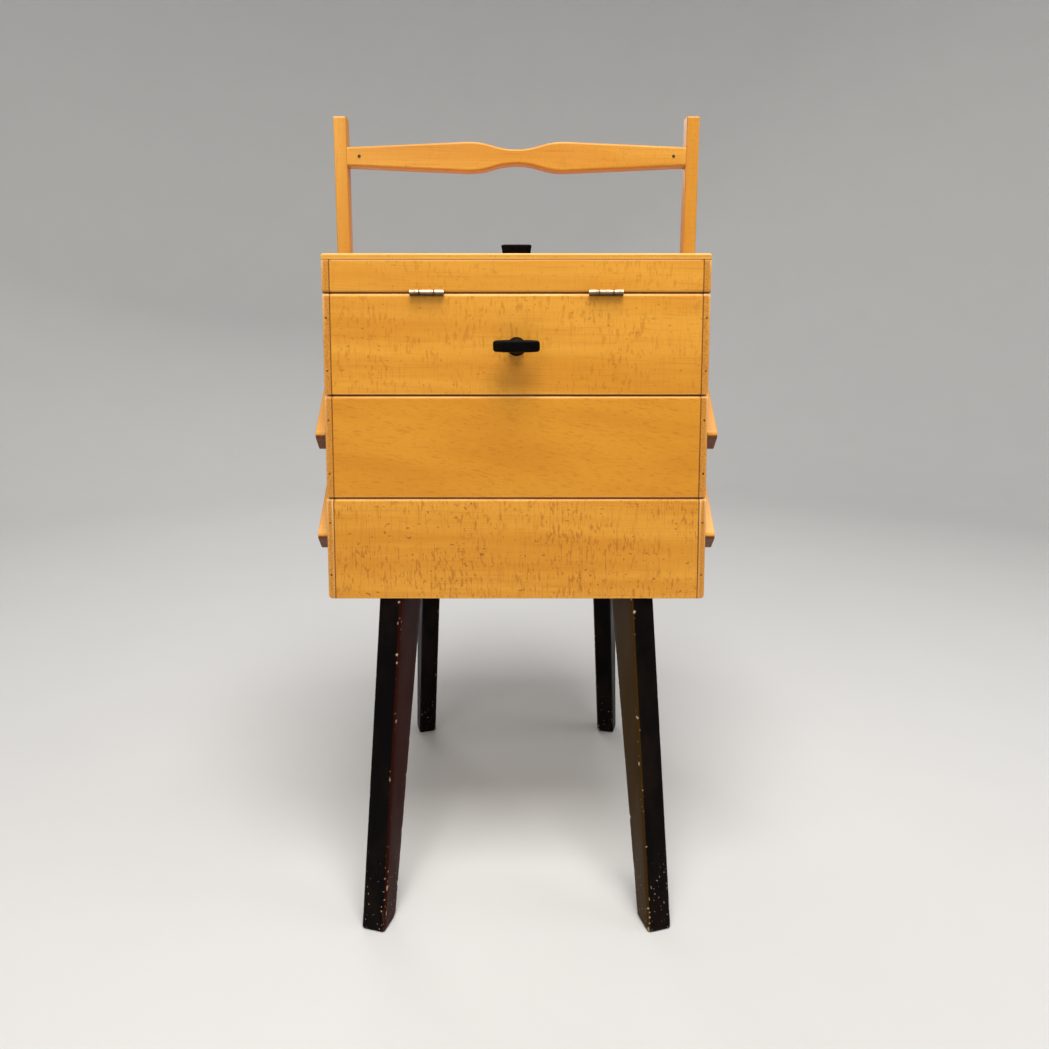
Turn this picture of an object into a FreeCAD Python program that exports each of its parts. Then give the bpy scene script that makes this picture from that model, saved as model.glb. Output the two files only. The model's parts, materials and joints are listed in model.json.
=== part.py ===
"""Wooden sewing box on four splayed legs, with trays that swing out to the front and to the back.

Frame: +Z up, the front faces -Y, millimetres, origin on the floor under the middle of the box.
The back half is the front half turned by half a circle about the vertical axis.
"""
import FreeCAD, Part
import math
import os
import re

SIZES = {
    # base box and tiers
    "box_width": 340, "box_depth": 290, "box_bottom": 284, "tier_pitch": 92, "tier_gap": 0.4,
    "side_board": 6, "front_board": 8, "back_board": 7, "floor_board": 8, "end_clearance": 0.5,
    "centre_gap": 0.5, "top_height": 88.9, "top_round": 3.5, "side_round": 3.5, "edge_round": 1,
    # tray bottoms held in grooves
    "tray_floor": 4, "groove_up": 3, "groove_deep": 3,
    # lids
    "lid_wall_height": 28.8, "lid_wall": 7, "lid_panel": 5, "lid_round": 2.5,
    # arms and their pivots
    "pivot_outer": 122, "pivot_step": 34, "pivot_height": 57.5, "pivot_run": 66, "pivot_rise": 70,
    "arm_width": 23.5, "arm_thick": 9, "arm_tail": 13, "arm_corner": 5, "arm_gap": 1.5,
    "arm_round": 0.8,
    "screw_radius": 2.5, "running": 0.06, "open_play": 0.35, "head_radius": 5, "head_height": 2.6,
    "head_play": 0.1, "washer_radius": 6.5, "slot_width": 1.2, "slot_deep": 1.1, "screw_shy": 0.5,
    # posts and handle bar
    "post_width": 13.3, "post_deep": 18, "post_foot": 288, "post_top": 747, "post_lean": 4.4,
    "bar_height": 707.3, "bar_deep": 16, "bar_end": 9.5, "bar_wide": 14.9, "bar_waist": 7.4,
    "bar_shoulder": 48.5, "bar_round": 2.5, "pin_radius": 1.6, "pin_from_post": 13, "pin_proud": 0.3,
    "post_screw_low": 20, "post_screw_high": 66,
    # legs and rails
    "leg_width": 22, "leg_top_deep": 50, "leg_foot_deep": 24.5, "leg_turn": 16, "leg_round": 2.5,
    "leg_top_out": 107.9, "leg_top_front": 117.4, "leg_foot_out": 122.7, "leg_foot_front": 183.8,
    "leg_screw_step": 7, "leg_screw_deep": 22, "rail_width": 16, "rail_height": 24, "rail_inset": 13,
    "rail_in": 4, "rail_screw": 60,
    # knobs
    "knob_height": 511, "knob_length": 40, "knob_tall": 10.8, "knob_thick": 11, "knob_reach": 22,
    "knob_stem": 8.5, "knob_neck": 4.4, "knob_bulge": 1.2, "lid_knob_width": 31.5, "lid_knob_tall": 23.5,
    "lid_knob_deep": 14, "lid_knob_waist": 1.6, "lid_knob_back": 118,
    # lid hinges
    "hinge_out": 78, "hinge_length": 29.5, "hinge_middle": 13, "hinge_radius": 2.75,
    "hinge_pin": 1.2, "hinge_forward": 2.3, "leaf_thick": 1, "leaf_deep": 6, "leaf_play": 0.1,
    "leaf_back": 0.8, "tab_lap": 0.9, "knuckle_gap": 0.15,
}

HALVES = {"front": 0, "back": 180}
MIDDLE_BOTTOM = "box_bottom + tier_pitch + tier_gap"
TOP_BOTTOM = "box_bottom + 2*tier_pitch + tier_gap"
LID_BOTTOM = "box_bottom + 2*tier_pitch + 2*tier_gap + top_height"
HINGE_HEIGHT = "box_bottom + 2*tier_pitch + 1.5*tier_gap + top_height"
BASE_PIVOT_HEIGHT = "box_bottom + pivot_height"
ARM_INNER_FACE = "box_width/2 + arm_gap"

doc = FreeCAD.newDocument("SewingBox")
sheet = doc.addObject("Spreadsheet::Sheet", "Sizes")
for row, (alias, number) in enumerate(SIZES.items(), start=1):
    sheet.set("A%d" % row, alias)
    sheet.set("B%d" % row, str(number))
    sheet.setAlias("B%d" % row, alias)
doc.recompute()

nodes = {}


def bind(item, prop, text):
    """Bind one property to an expression in which every alias of the sheet may be used."""
    known = re.sub(r"[a-z_]+", lambda word: "Sizes." + word[0] if word[0] in SIZES else word[0], text)
    item.setExpression(prop, known)


def move(item, x, y, z):
    """Bind the place of an item along the three axes."""
    for axis, text in zip("xyz", (x, y, z)):
        bind(item, "Placement.Base." + axis, text)


def keep(item, label, turn=0):
    """Give a finished sub-part its label and its turn about the vertical axis."""
    item.Label = label
    if turn:
        item.Placement = FreeCAD.Placement(FreeCAD.Vector(), FreeCAD.Rotation(FreeCAD.Vector(0, 0, 1), turn))
    nodes[label] = item
    return item


def edges_near(item, test):
    """Names of the edges whose middle passes the test."""
    named = enumerate(item.Shape.Edges, start=1)
    return ["Edge%d" % number for number, edge in named if test(edge.CenterOfMass)]


def box_feature(body, kind, name, lengths, corner):
    """A block added to a body, or cut from it, with bound lengths and corner."""
    block = body.newObject("PartDesign::%sBox" % kind, name)
    for prop, text in zip(("Length", "Width", "Height"), lengths):
        bind(block, prop, text)
    move(block, *corner)
    return block


def hole_feature(body, name, radius, length, start, axis):
    """A round hole cut from a body, from a start point along an axis."""
    hole = body.newObject("PartDesign::SubtractiveCylinder", name)
    bind(hole, "Radius", radius)
    bind(hole, "Height", length)
    hole.Placement.Rotation = FreeCAD.Rotation(FreeCAD.Vector(0, 0, 1), axis)
    move(hole, *start)
    return hole


def round_edges(body, base, name, radius, test):
    """Round the edges of a body's last feature that pass the test."""
    doc.recompute()
    fillet = body.newObject("PartDesign::Fillet", name)
    fillet.Base = (base, edges_near(base, test))
    bind(fillet, "Radius", radius)
    return fillet


def board(label, lengths, corner, grooves=(), holes=(), rounds=()):
    """A wooden board: a block with grooves, screw holes and rounded edges."""
    body = doc.addObject("PartDesign::Body", label)
    last = box_feature(body, "Additive", label + "_block", lengths, corner)
    for number, (radius, test) in enumerate(rounds):
        last = round_edges(body, last, label + "_round%d" % number, radius, test)
    for number, (cut_lengths, cut_corner) in enumerate(grooves):
        box_feature(body, "Subtractive", label + "_groove%d" % number, cut_lengths, cut_corner)
    for number, (radius, length, start, axis) in enumerate(holes):
        hole_feature(body, label + "_hole%d" % number, radius, length, start, axis)
    return body


def mirrored_pair(label, right, turn):
    """A right-hand piece and its mirror image at the left end, as one node of two solids."""
    left = doc.addObject("Part::Mirroring", label + "_left")
    left.Source = right
    left.Normal = FreeCAD.Vector(1, 0, 0)
    pair = doc.addObject("Part::Compound", label + "_pair")
    pair.Links = [right, left]
    return keep(pair, label, turn)


X_AXIS = FreeCAD.Vector(1, 0, 0)
Y_AXIS = FreeCAD.Vector(0, 1, 0)
Z_AXIS = FreeCAD.Vector(0, 0, 1)
FRONT = -SIZES["box_depth"] / 2
NEAR = 0.01
OVER = 1
LEG_SCREWS = ("leg_top_front - leg_screw_step", "leg_top_front + leg_screw_step")
POST_SCREWS = ("post_foot + post_screw_low", "post_foot + post_screw_high")


def front_edge(height):
    """Test for the long front edge of a board at one height."""
    return lambda spot: abs(spot.y - FRONT) < NEAR and abs(spot.z - height) < NEAR


def outer_long_edge(out, height):
    """Test for the long outer edge of a side board at one height."""
    return lambda spot: abs(spot.x - out) < NEAR and abs(spot.z - height) < NEAR


def end_edge(height, ends):
    """Test for the short upper or lower edges at the ends of a side board."""
    return lambda spot: min(abs(spot.y - end) for end in ends) < NEAR and abs(spot.z - height) < NEAR


# ---------------------------------------------------------------- base box

def side_holes(pivots, out):
    """Screw holes in a side board, open at its outer face and closed at its inner face."""
    start = out + " - side_board + screw_shy"
    return [("screw_radius", "side_board", (start, y, z), X_AXIS) for y, z in pivots]


def base_box():
    low = SIZES["box_bottom"]
    high = low + SIZES["tier_pitch"]
    out = SIZES["box_width"] / 2
    inner = "box_width/2 - side_board"
    for name, turn in (("base_front_board", 0), ("base_back_board", 180)):
        wall = board(name, ("box_width - 2*side_board", "front_board", "tier_pitch"),
                     ("-(%s)" % inner, "-box_depth/2", "box_bottom"),
                     rounds=[("top_round", front_edge(high)), ("edge_round", front_edge(low))])
        keep(wall, name, turn)
    pivots = [("%s(pivot_outer - %d*pivot_step)" % (sign, step), BASE_PIVOT_HEIGHT)
              for sign in ("-", "") for step in (0, 1)]
    holes = side_holes(pivots + [("0", up) for up in POST_SCREWS], "box_width/2")
    ends = (-SIZES["box_depth"] / 2, SIZES["box_depth"] / 2)
    for name, turn in (("base_right_side", 0), ("base_left_side", 180)):
        side = board(name, ("side_board", "box_depth", "tier_pitch"), (inner, "-box_depth/2", "box_bottom"),
                     rounds=[("top_round", end_edge(high, ends)), ("side_round", outer_long_edge(out, low)),
                             ("edge_round", outer_long_edge(out, high))],
                     holes=holes)
        keep(side, name, turn)
    floor_holes = []
    for across in ("", "-"):
        for along in ("", "-"):
            for place in LEG_SCREWS:
                start = (across + "leg_top_out", "%s(%s)" % (along, place), "box_bottom")
                floor_holes.append(("screw_radius", "floor_board", start, Z_AXIS))
    floor = board("base_bottom_panel",
                  ("box_width - 2*side_board", "box_depth - 2*front_board", "floor_board"),
                  ("-(%s)" % inner, "-box_depth/2 + front_board", "box_bottom"), holes=floor_holes)
    keep(floor, "base_bottom_panel")


# ---------------------------------------------------------------- legs and rails

def turned_oblong(deep, out, front, up):
    """The corners of a horizontal oblong, turned about its own centre."""
    turn = FreeCAD.Rotation(Z_AXIS, SIZES["leg_turn"])
    centre = FreeCAD.Vector(out, -front, up)
    half = SIZES["leg_width"] / 2
    signs = ((-1, -1), (1, -1), (1, 1), (-1, 1))
    return [centre + turn.multVec(FreeCAD.Vector(x * half, y * deep / 2, 0)) for x, y in signs]


def right_front_leg():
    """A leg that leans out to the front and to the side, deep at the top and slim at the foot.

    Its sides are flat faces between two turned oblongs, so that every edge can be rounded.
    """
    box_bottom = SIZES["box_bottom"]
    top = turned_oblong(SIZES["leg_top_deep"], SIZES["leg_top_out"], SIZES["leg_top_front"], box_bottom)
    foot = turned_oblong(SIZES["leg_foot_deep"], SIZES["leg_foot_out"], SIZES["leg_foot_front"], 0)
    loops = [top, foot[::-1]]
    for side in range(4):
        after = (side + 1) % 4
        loops.append([foot[side], foot[after], top[after], top[side]])
    faces = [Part.Face(Part.makePolygon(loop + loop[:1])) for loop in loops]
    shell = Part.makeShell(faces)
    shell.sewShape()
    solid = Part.makeSolid(shell)
    edges = [edge for edge in solid.Edges if edge.CenterOfMass.z < box_bottom - NEAR]
    solid = solid.makeFillet(SIZES["leg_round"], edges)
    deep = SIZES["leg_screw_deep"]
    for step in (-SIZES["leg_screw_step"], SIZES["leg_screw_step"]):
        start = FreeCAD.Vector(SIZES["leg_top_out"], -SIZES["leg_top_front"] + step, box_bottom - deep)
        solid = solid.cut(Part.makeCylinder(SIZES["screw_radius"], deep + OVER, start, Z_AXIS))
    leg = doc.addObject("Part::Feature", "leg_shape")
    leg.Shape = solid
    return leg


def legs_and_rails():
    """Four legs from one shape, and a rail between each front leg and the back leg behind it."""
    shape = right_front_leg()
    left = doc.addObject("Part::Mirroring", "leg_shape_left")
    left.Source = shape
    left.Normal = X_AXIS
    for name, source, turn in (("leg_front_right", shape, 0), ("leg_front_left", left, 0),
                               ("leg_back_left", shape, 180), ("leg_back_right", left, 180)):
        leg = doc.addObject("Part::Compound", name)
        leg.Links = [source]
        keep(leg, name, turn)
    doc.recompute()
    rail = doc.addObject("Part::Box", "rail_block")
    bind(rail, "Length", "rail_width")
    bind(rail, "Width", "2*(leg_top_front - rail_inset)")
    bind(rail, "Height", "rail_height")
    move(rail, "leg_top_out - rail_in - rail_width/2", "-(leg_top_front - rail_inset)",
         "box_bottom - rail_height")
    trimmed = rail
    for leg in (nodes["leg_front_right"], nodes["leg_back_right"]):
        cut = doc.addObject("Part::Cut", "rail_trim")
        cut.Base = trimmed
        cut.Tool = leg
        trimmed = cut
    for along in ("-", ""):
        hole = doc.addObject("Part::Cylinder", "rail_hole")
        bind(hole, "Radius", "screw_radius")
        bind(hole, "Height", "rail_height")
        move(hole, "leg_top_out - rail_in", along + "rail_screw", "box_bottom - rail_height")
        cut = doc.addObject("Part::Cut", "rail_bored")
        cut.Base = trimmed
        cut.Tool = hole
        trimmed = cut
    mirrored_pair("leg_rails", trimmed, 0)


# ---------------------------------------------------------------- screws

def screw(start, axis, length):
    """A slotted round-head screw: start is under the head, axis points from the tip to the head."""
    turn = FreeCAD.Rotation(Z_AXIS, axis)
    radius = SIZES["head_radius"]
    height = SIZES["head_height"]
    shank = doc.addObject("Part::Cylinder", "screw_shank")
    bind(shank, "Radius", "screw_radius")
    bind(shank, "Height", length)
    back = axis * -1
    shank.Placement.Rotation = turn
    along = "(%s)" % length
    move(shank, *["%s + (%d)*%s" % (text, round(step), along) for text, step in zip(start, back)])
    ball = (radius ** 2 + height ** 2) / (2 * height)
    dome = doc.addObject("Part::Sphere", "screw_head")
    bind(dome, "Radius", "(head_radius^2 + head_height^2)/(2*head_height)")
    dome.Angle1 = math.degrees(math.asin((ball - height) / ball))
    dome.Angle2 = 90
    dome.Placement.Rotation = turn
    sunk = "(%s)" % "(head_radius^2 + head_height^2)/(2*head_height) - head_height"
    move(dome, *["%s + (%d)*%s" % (text, round(step), sunk) for text, step in zip(start, back)])
    whole = doc.addObject("Part::Fuse", "screw_whole")
    whole.Base = shank
    whole.Tool = dome
    slot = doc.addObject("Part::Box", "screw_slot")
    bind(slot, "Length", "3*head_radius")
    bind(slot, "Width", "slot_width")
    bind(slot, "Height", "2*slot_deep")
    lift = height - SIZES["slot_deep"]
    local = turn.multVec(FreeCAD.Vector(-1.5 * radius, -SIZES["slot_width"] / 2, lift))
    slot.Placement.Rotation = turn
    move(slot, *["%s + (%.4f)" % (text, offset) for text, offset in zip(start, local)])
    slotted = doc.addObject("Part::Cut", "screw")
    slotted.Base = whole
    slotted.Tool = slot
    return slotted


def washer(inner_face, outer_face, y, z):
    """A flat washer between a side board and an arm."""
    disc = doc.addObject("Part::Cylinder", "washer_disc")
    bore = doc.addObject("Part::Cylinder", "washer_bore")
    for item, radius in ((disc, "washer_radius"), (bore, "screw_radius")):
        bind(item, "Radius", radius)
        bind(item, "Height", "%s - (%s)" % (outer_face, inner_face))
        item.Placement.Rotation = FreeCAD.Rotation(Z_AXIS, X_AXIS)
        move(item, inner_face, y, z)
    ring = doc.addObject("Part::Cut", "washer")
    ring.Base = disc
    ring.Tool = bore
    return ring


def pivot_set(side_face, y, z):
    """The screw and washer of one pivot at the right-hand end."""
    under_head = ARM_INNER_FACE + " + arm_thick + head_play"
    length = "%s - (%s) + side_board - screw_shy" % (under_head, side_face)
    return [screw((under_head, y, z), X_AXIS, length),
            washer(side_face, "box_width/2 + arm_gap - head_play", y, z)]


def frame_screws():
    """Screws that hold the legs, the rails and the posts to the base box."""
    pieces = []
    for across in ("", "-"):
        for along in ("", "-"):
            for place in LEG_SCREWS:
                start = (across + "leg_top_out", "%s(%s)" % (along, place), "box_bottom + floor_board")
                pieces.append(screw(start, Z_AXIS, "floor_board + leg_screw_deep - screw_shy"))
            rail_start = ("%s(leg_top_out - rail_in)" % across, along + "rail_screw",
                          "box_bottom - rail_height")
            pieces.append(screw(rail_start, Z_AXIS * -1, "rail_height"))
    for up in POST_SCREWS:
        for sign, axis in (("", X_AXIS), ("-", X_AXIS * -1)):
            start = ("%s(box_width/2 + post_width)" % sign, "0", up)
            pieces.append(screw(start, axis, "post_width + side_board - screw_shy"))
    group = doc.addObject("Part::Compound", "frame_screw_group")
    group.Links = pieces
    keep(group, "frame_screws")


# ---------------------------------------------------------------- posts and handle bar

def outline_body(name, plane_name, geometry, thickness, radius, rounded):
    """A body padded symmetrically from a closed outline of lines and arcs, with rounded edges."""
    body = doc.addObject("PartDesign::Body", name)
    sketch = body.newObject("Sketcher::SketchObject", name + "_outline")
    plane = [item for item in body.Origin.OriginFeatures if item.Role == plane_name][0]
    sketch.AttachmentSupport = [(plane, "")]
    sketch.MapMode = "FlatFace"
    for piece in geometry:
        sketch.addGeometry(piece)
    pad = body.newObject("PartDesign::Pad", name + "_pad")
    pad.Profile = sketch
    bind(pad, "Length", thickness)
    pad.SideType = "Symmetric"
    round_edges(body, pad, name + "_round", radius, rounded)
    doc.recompute()
    return body


def polyline(points):
    """Line segments through flat points, closed at the end."""
    spots = [FreeCAD.Vector(x, y, 0) for x, y in points]
    return [Part.LineSegment(start, end) for start, end in zip(spots, spots[1:] + spots[:1])]


def post_inner(height):
    """How far out a post's inner face is at a height above the base box."""
    foot = SIZES["box_bottom"] + SIZES["tier_pitch"]
    lean = SIZES["post_lean"] * (height - foot) / (SIZES["post_top"] - foot)
    return SIZES["box_width"] / 2 + lean


def posts():
    """Upright posts: plumb beside the base box, then leaning out a little up to the handle."""
    low = SIZES["post_foot"]
    bend = SIZES["box_bottom"] + SIZES["tier_pitch"]
    high = SIZES["post_top"]
    inner = SIZES["box_width"] / 2
    outer = inner + SIZES["post_width"]
    top_in = post_inner(high)
    outline = [(inner, low), (outer, low), (outer, bend), (top_in + SIZES["post_width"], high),
               (top_in, high), (inner, bend)]

    def long_and_top_edge(spot):
        return abs(spot.y) > NEAR and spot.x > inner + NEAR

    for name, turn in (("right_post", 0), ("left_post", 180)):
        body = outline_body(name, "XZ_Plane", polyline(outline), "post_deep", "edge_round*2",
                            long_and_top_edge)
        for number, up in enumerate(POST_SCREWS):
            hole_feature(body, name + "_hole%d" % number, "screw_radius", "post_width + %d" % (2 * OVER),
                         ("box_width/2 - %d" % OVER, "0", up), X_AXIS)
        keep(body, name, turn)


def handle_bar():
    """The bar between the posts: slim at the ends, wide beside the grip, with a narrow waist."""
    middle = SIZES["bar_height"]
    wide = SIZES["bar_wide"]
    waist = SIZES["bar_waist"]
    shoulder = SIZES["bar_shoulder"]
    rise = wide - waist
    bend = (shoulder ** 2 + rise ** 2) / (4 * rise)
    geometry = []
    tips = []
    for sign in (1, -1):
        tip = (post_inner(middle + sign * SIZES["bar_end"]), SIZES["bar_end"])
        slope = 0
        for _ in range(6):
            touch = (shoulder + bend * math.sin(slope), wide - bend * (1 - math.cos(slope)))
            slope = math.atan2(touch[1] - tip[1], tip[0] - touch[0])
        turning = (shoulder / 2, (wide + waist) / 2)
        quarter = shoulder * 3 / 4
        crown = (quarter, wide - bend + math.sqrt(bend ** 2 - (shoulder - quarter) ** 2))

        def spot(point, mirror=1):
            return FreeCAD.Vector(mirror * point[0], middle + sign * point[1], 0)

        for mirror in (1, -1):
            geometry.append(Part.LineSegment(spot(tip, mirror), spot(touch, mirror)))
            geometry.append(Part.Arc(spot(touch, mirror), spot(crown, mirror), spot(turning, mirror)))
        geometry.append(Part.Arc(spot(turning), spot((0, waist)), spot(turning, -1)))
        tips.append((spot(tip), spot(tip, -1)))
    for side in (0, 1):
        geometry.append(Part.LineSegment(tips[0][side], tips[1][side]))

    def grip_edge(spot):
        return abs(spot.y) > NEAR and abs(spot.x) < SIZES["box_width"] / 2 - OVER

    body = outline_body("handle_bar", "XZ_Plane", geometry, "bar_deep", "bar_round", grip_edge)
    pins = []
    for sign in ("", "-"):
        pin_out = "%s(box_width/2 + post_lean - pin_from_post)" % sign
        hole_feature(body, "bar_hole", "pin_radius", "bar_deep + %d" % (2 * OVER),
                     (pin_out, "bar_deep/2 + %d" % OVER, "bar_height"), Y_AXIS * -1)
        pin = doc.addObject("Part::Cylinder", "bar_pin")
        bind(pin, "Radius", "pin_radius")
        bind(pin, "Height", "bar_deep + 2*pin_proud")
        pin.Placement.Rotation = FreeCAD.Rotation(Z_AXIS, Y_AXIS * -1)
        move(pin, pin_out, "bar_deep/2 + pin_proud", "bar_height")
        pins.append(pin)
    keep(body, "handle_bar")
    group = doc.addObject("Part::Compound", "bar_pins")
    group.Links = pins
    keep(group, "handle_pins")


# ---------------------------------------------------------------- arms

LEAN = math.degrees(math.atan2(SIZES["pivot_rise"], SIZES["pivot_run"]))
ARM_LENGTH = math.hypot(SIZES["pivot_rise"], SIZES["pivot_run"])


def arm_pair(label, pivot_y, pivot_z, far_play, turn):
    """Two arms, one at each end, from their lower pivot up to their upper pivot."""
    half = SIZES["arm_width"] / 2
    tail = SIZES["arm_tail"]
    corner = SIZES["arm_corner"]
    spread = corner * (1 - math.sqrt(0.5))
    spots = {
        "left_low": (-half, -tail + corner), "left_turn": (-half + spread, -tail + spread),
        "left_flat": (-half + corner, -tail), "right_flat": (half - corner, -tail),
        "right_turn": (half - spread, -tail + spread), "right_low": (half, -tail + corner),
        "right_high": (half, ARM_LENGTH), "crown": (0, ARM_LENGTH + half), "left_high": (-half, ARM_LENGTH),
    }
    at = {name: FreeCAD.Vector(x, y, 0) for name, (x, y) in spots.items()}
    geometry = [
        Part.LineSegment(at["left_high"], at["left_low"]),
        Part.Arc(at["left_low"], at["left_turn"], at["left_flat"]),
        Part.LineSegment(at["left_flat"], at["right_flat"]),
        Part.Arc(at["right_flat"], at["right_turn"], at["right_low"]),
        Part.LineSegment(at["right_low"], at["right_high"]),
        Part.Arc(at["right_high"], at["crown"], at["left_high"]),
    ]

    body = outline_body(label + "_right", "YZ_Plane", geometry, "arm_thick", "arm_round",
                        lambda spot: spot.x > NEAR)
    for number, (play, up) in enumerate((("running", "0"), (far_play, "sqrt(pivot_run^2 + pivot_rise^2)"))):
        hole_feature(body, label + "_bore%d" % number, "screw_radius + " + play,
                     "arm_thick + %d" % (2 * OVER), ("-arm_thick/2 - %d" % OVER, "0", up), X_AXIS)
    body.Placement.Rotation = FreeCAD.Rotation(X_AXIS, LEAN - 90)
    move(body, ARM_INNER_FACE + " + arm_thick/2", pivot_y, pivot_z)
    mirrored_pair(label, body, turn)


def half_arms(side, turn):
    """The two pairs of arms under the middle tray and the two pairs under the top tray."""
    for tier, lift in (("lower", "0"), ("upper", "tier_pitch")):
        for place, step, play in (("outer", 0, "running"), ("inner", 1, "open_play")):
            arm_pair("%s_%s_%s_arms" % (side, tier, place), "-(pivot_outer - %d*pivot_step)" % step,
                     "%s + %s" % (BASE_PIVOT_HEIGHT, lift), play, turn)


# ---------------------------------------------------------------- trays

def upper_pivots(lift):
    """Where the upper ends of a pair of arms meet their tray."""
    return [("-(pivot_outer - %d*pivot_step - pivot_run)" % step,
             "%s + pivot_rise + %s" % (BASE_PIVOT_HEIGHT, lift)) for step in (0, 1)]


def lower_pivots(lift):
    """Where the lower ends of a pair of arms meet the tray or box that carries them."""
    return [("-(pivot_outer - %d*pivot_step)" % step, "%s + %s" % (BASE_PIVOT_HEIGHT, lift))
            for step in (0, 1)]


def tray(name, turn, bottom, height, bottom_number, height_number, pivots, mortises):
    """One tray: front, back and side boards, and a thin bottom held in grooves."""
    inner = "box_width/2 - end_clearance - side_board"
    out = SIZES["box_width"] / 2 - SIZES["end_clearance"]
    top = bottom_number + height_number
    groove_z = "%s + groove_up" % bottom
    across = "2*(%s)" % inner
    groove = (("box_width", "groove_deep", "tray_floor"),
              ("-box_width/2", "-box_depth/2 + front_board - groove_deep", groove_z))
    front = board(name + "_front_board", (across, "front_board", height),
                  ("-(%s)" % inner, "-box_depth/2", bottom), grooves=[groove] + mortises,
                  rounds=[("top_round", front_edge(top)), ("edge_round", front_edge(bottom_number))])
    keep(front, name + "_front_board", turn)
    back_groove = (("box_width", "groove_deep", "tray_floor"),
                   ("-box_width/2", "-centre_gap - back_board", groove_z))
    back = board(name + "_back_board", (across, "back_board", height),
                 ("-(%s)" % inner, "-centre_gap - back_board", bottom), grooves=[back_groove])
    keep(back, name + "_back_board", turn)
    side_groove = (("groove_deep", "box_depth/2 - centre_gap - front_board - back_board + 2*groove_deep",
                    "tray_floor"), (inner, "-box_depth/2 + front_board - groove_deep", groove_z))
    side = board(name + "_side", ("side_board", "box_depth/2 - centre_gap", height),
                 (inner, "-box_depth/2", bottom), grooves=[side_groove],
                 rounds=[("top_round", end_edge(top, (FRONT,))),
                         ("side_round", outer_long_edge(out, bottom_number)),
                         ("edge_round", outer_long_edge(out, top))],
                 holes=side_holes(pivots, "box_width/2 - end_clearance"))
    mirrored_pair(name + "_sides", side, turn)
    panel = board(name + "_bottom_panel",
                  ("%s + 2*groove_deep" % across,
                   "box_depth/2 - centre_gap - front_board - back_board + 2*groove_deep", "tray_floor"),
                  ("-(%s + groove_deep)" % inner, "-box_depth/2 + front_board - groove_deep", groove_z))
    keep(panel, name + "_bottom_panel", turn)


def both_ends(label, pieces, turn):
    """A group of right-hand pieces and their mirror images."""
    right = doc.addObject("Part::Compound", label + "_right")
    right.Links = pieces
    mirrored_pair(label, right, turn)


def hinge_mortise(height):
    """The two shallow seats for hinge leaves along a front edge, reaching up from one height."""
    return [(("hinge_length", "leaf_deep + leaf_play", "leaf_thick"),
             ("%shinge_out - hinge_length/2" % sign, "-box_depth/2 - leaf_play", height))
            for sign in ("", "-")]


def half_trays(side, turn):
    """The middle tray and the top tray of one half, with the screws that carry the arms."""
    pitch = SIZES["tier_pitch"]
    middle = SIZES["box_bottom"] + pitch + SIZES["tier_gap"]
    middle_height = pitch - SIZES["tier_gap"]
    middle_pivots = upper_pivots("0") + lower_pivots("tier_pitch")
    tray(side + "_mid", turn, MIDDLE_BOTTOM, "tier_pitch - tier_gap", middle, middle_height,
         middle_pivots, [])
    top_pivots = upper_pivots("tier_pitch")
    seats = hinge_mortise("%s + top_height - leaf_thick" % TOP_BOTTOM)
    tray(side + "_top", turn, TOP_BOTTOM, "top_height", middle + pitch, SIZES["top_height"],
         top_pivots, seats)
    face = "box_width/2 - end_clearance"
    for name, pivots in (("mid", middle_pivots), ("top", top_pivots)):
        pieces = [piece for y, z in pivots for piece in pivot_set(face, y, z)]
        both_ends("%s_%s_pivot_screws" % (side, name), pieces, turn)


# ---------------------------------------------------------------- lids and hinges

def half_lid(side, turn):
    """One lid: four low walls under a thin top panel that covers them."""
    inner = "box_width/2 - end_clearance - side_board"
    low = SIZES["box_bottom"] + 2 * SIZES["tier_pitch"] + 2 * SIZES["tier_gap"] + SIZES["top_height"]
    across = "2*(%s)" % inner
    name = side + "_lid"
    front = board(name + "_front_board", (across, "lid_wall", "lid_wall_height"),
                  ("-(%s)" % inner, "-box_depth/2", LID_BOTTOM), grooves=hinge_mortise(LID_BOTTOM),
                  rounds=[("lid_round", front_edge(low))])
    keep(front, name + "_front_board", turn)
    back = board(name + "_back_board", (across, "back_board", "lid_wall_height"),
                 ("-(%s)" % inner, "-centre_gap - back_board", LID_BOTTOM))
    keep(back, name + "_back_board", turn)
    end = board(name + "_side", ("side_board", "box_depth/2 - centre_gap", "lid_wall_height"),
                (inner, "-box_depth/2", LID_BOTTOM), rounds=[("lid_round", end_edge(low, (FRONT,)))])
    mirrored_pair(name + "_sides", end, turn)
    high = low + SIZES["lid_wall_height"] + SIZES["lid_panel"]
    out = SIZES["box_width"] / 2 - SIZES["end_clearance"]
    panel = board(name + "_panel", ("box_width - 2*end_clearance", "box_depth/2 - centre_gap", "lid_panel"),
                  ("-(box_width/2 - end_clearance)", "-box_depth/2", LID_BOTTOM + " + lid_wall_height"),
                  rounds=[("lid_round*0.8", lambda spot: abs(spot.z - high) < NEAR and
                           (abs(spot.y - FRONT) < NEAR or abs(abs(spot.x) - out) < NEAR))])
    keep(panel, name + "_panel", turn)


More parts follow.
